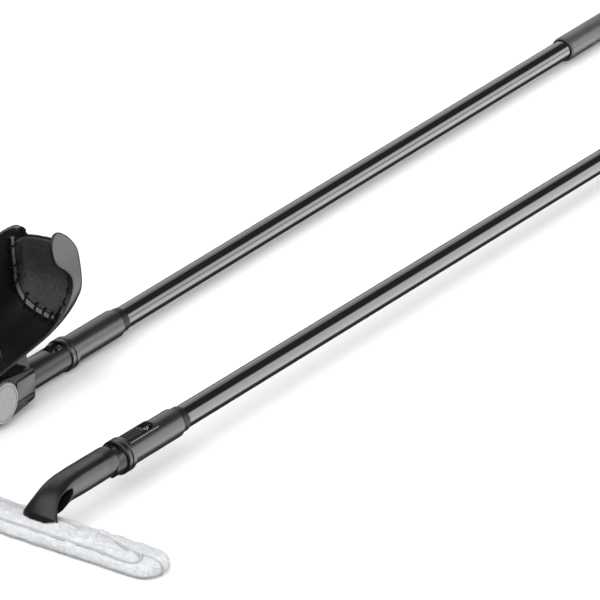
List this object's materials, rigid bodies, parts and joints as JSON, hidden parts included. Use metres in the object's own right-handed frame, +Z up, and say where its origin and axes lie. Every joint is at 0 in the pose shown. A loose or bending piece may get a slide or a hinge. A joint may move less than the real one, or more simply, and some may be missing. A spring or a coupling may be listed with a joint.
{
  "type": "window cleaning pole set",
  "caption": "Telescopic window cleaning poles lying side by side, one with a tilting vacuum cradle and one with a gooseneck wiper and microfibre pad.",
  "frame": {"origin": "centre of the bounding box's bottom, on the floor the set lies on", "axes": "+Y along pole A from its head to its hand grip, +Z up, +X towards pole B"},
  "size_m": [0.3445, 2.1731, 0.1619],
  "materials": {
    "tube_black": "gloss black lacquer on aluminium tube",
    "satin_plastic": "satin dark grey moulding",
    "gloss_black": "glossy black moulding",
    "sleeve_plastic": "mid grey satin moulding with fine texture",
    "grip_rubber": "matt soft grip with rings",
    "cradle_plastic": "smooth satin near-black moulding",
    "liner_rubber": "rough grained soft liner",
    "trim_grey": "grey bead",
    "neck_plastic": "warm black semi-gloss moulding",
    "silver_button": "finely brushed silver disc",
    "spring_steel": "bright steel",
    "hook_tape": "black hook tape",
    "microfibre": "white deep-pile microfibre"
  },
  "bodies": {
    "pole_a_handle": {"a_outer_tube": "tube_black", "a_hand_grip": "grip_rubber", "a_end_cap": "satin_plastic", "a_lock_collet": "satin_plastic"},
    "a_sleeve": {"a_twist_sleeve": "sleeve_plastic"},
    "pole_a_inner": {"a_inner_tube": "tube_black", "a_guide_plug": "satin_plastic", "a_tube_bush": "gloss_black", "a_connector": "satin_plastic", "hinge_yoke": "gloss_black", "hinge_axle": "spring_steel", "hinge_cap": "gloss_black", "a_latch_spring": "spring_steel", "tilt_spring": "spring_steel"},
    "a_latch": {"a_latch_slide": "gloss_black"},
    "cradle": {"cradle_shell": "cradle_plastic", "heel_liner": "liner_rubber", "seam_trim": "trim_grey", "tilt_bracket": "satin_plastic", "friction_washers": "spring_steel", "bracket_screws": "spring_steel"},
    "tilt_button": {"tilt_button": "silver_button"},
    "pole_b_handle": {"b_outer_tube": "tube_black", "b_hand_grip": "grip_rubber", "b_end_cap": "satin_plastic", "b_lock_collet": "satin_plastic"},
    "b_sleeve": {"b_twist_sleeve": "sleeve_plastic"},
    "pole_b_inner": {"b_inner_tube": "tube_black", "b_guide_plug": "satin_plastic", "b_tube_bush": "gloss_black", "b_connector": "satin_plastic", "b_latch_spring": "spring_steel", "wiper_neck": "neck_plastic", "wiper_plate": "satin_plastic", "plate_screws": "spring_steel", "hook_strips": "hook_tape", "microfibre_pad": "microfibre"},
    "b_latch": {"b_latch_slide": "gloss_black"}
  },
  "joints": [
    {"name": "a_sleeve_twist", "type": "hinge", "parent": "pole_a_handle", "child": "a_sleeve", "pos_m": [-0.13725, 0.17396, 0.016], "axis": [0, 1, 0], "range_deg": [0, 90]},
    {"name": "pole_a_extend", "type": "slide", "parent": "pole_a_handle", "child": "pole_a_inner", "axis": [0, 1, 0], "range_m": [0, 0.77]},
    {"name": "a_latch_slide", "type": "slide", "parent": "pole_a_inner", "child": "a_latch", "axis": [0, 1, 0], "range_m": [0, 0.0104], "stiffness_N_per_m": 120, "springref_m": -0.004, "deforming": ["a_latch_spring"]},
    {"name": "cradle_tilt", "type": "hinge", "parent": "pole_a_inner", "child": "cradle", "pos_m": [-0.13725, -0.91504, 0.026], "axis": [1, 0, 0], "range_deg": [0, 35]},
    {"name": "tilt_button_press", "type": "slide", "parent": "pole_a_inner", "child": "tilt_button", "axis": [-1, 0, 0], "range_m": [0, 0.003], "stiffness_N_per_m": 600, "springref_m": -0.002, "deforming": ["tilt_spring"]},
    {"name": "pole_b_carry", "type": "slide", "parent": "pole_a_handle", "child": "pole_b_handle", "axis": [1, 0, 0], "range_m": [0, 0.25]},
    {"name": "b_sleeve_twist", "type": "hinge", "parent": "pole_b_handle", "child": "b_sleeve", "pos_m": [0.06269, 0.0097, 0.02237], "axis": [0.0218, 0.9997, -0.0073], "range_deg": [0, 90]},
    {"name": "pole_b_extend", "type": "slide", "parent": "pole_b_handle", "child": "pole_b_inner", "axis": [0.0218, 0.9997, -0.0073], "range_m": [0, 0.77]},
    {"name": "b_latch_slide", "type": "slide", "parent": "pole_b_inner", "child": "b_latch", "axis": [0.0218, 0.9997, -0.0073], "range_m": [0, 0.0104], "stiffness_N_per_m": 120, "springref_m": -0.004, "deforming": ["b_latch_spring"]}
  ]
}
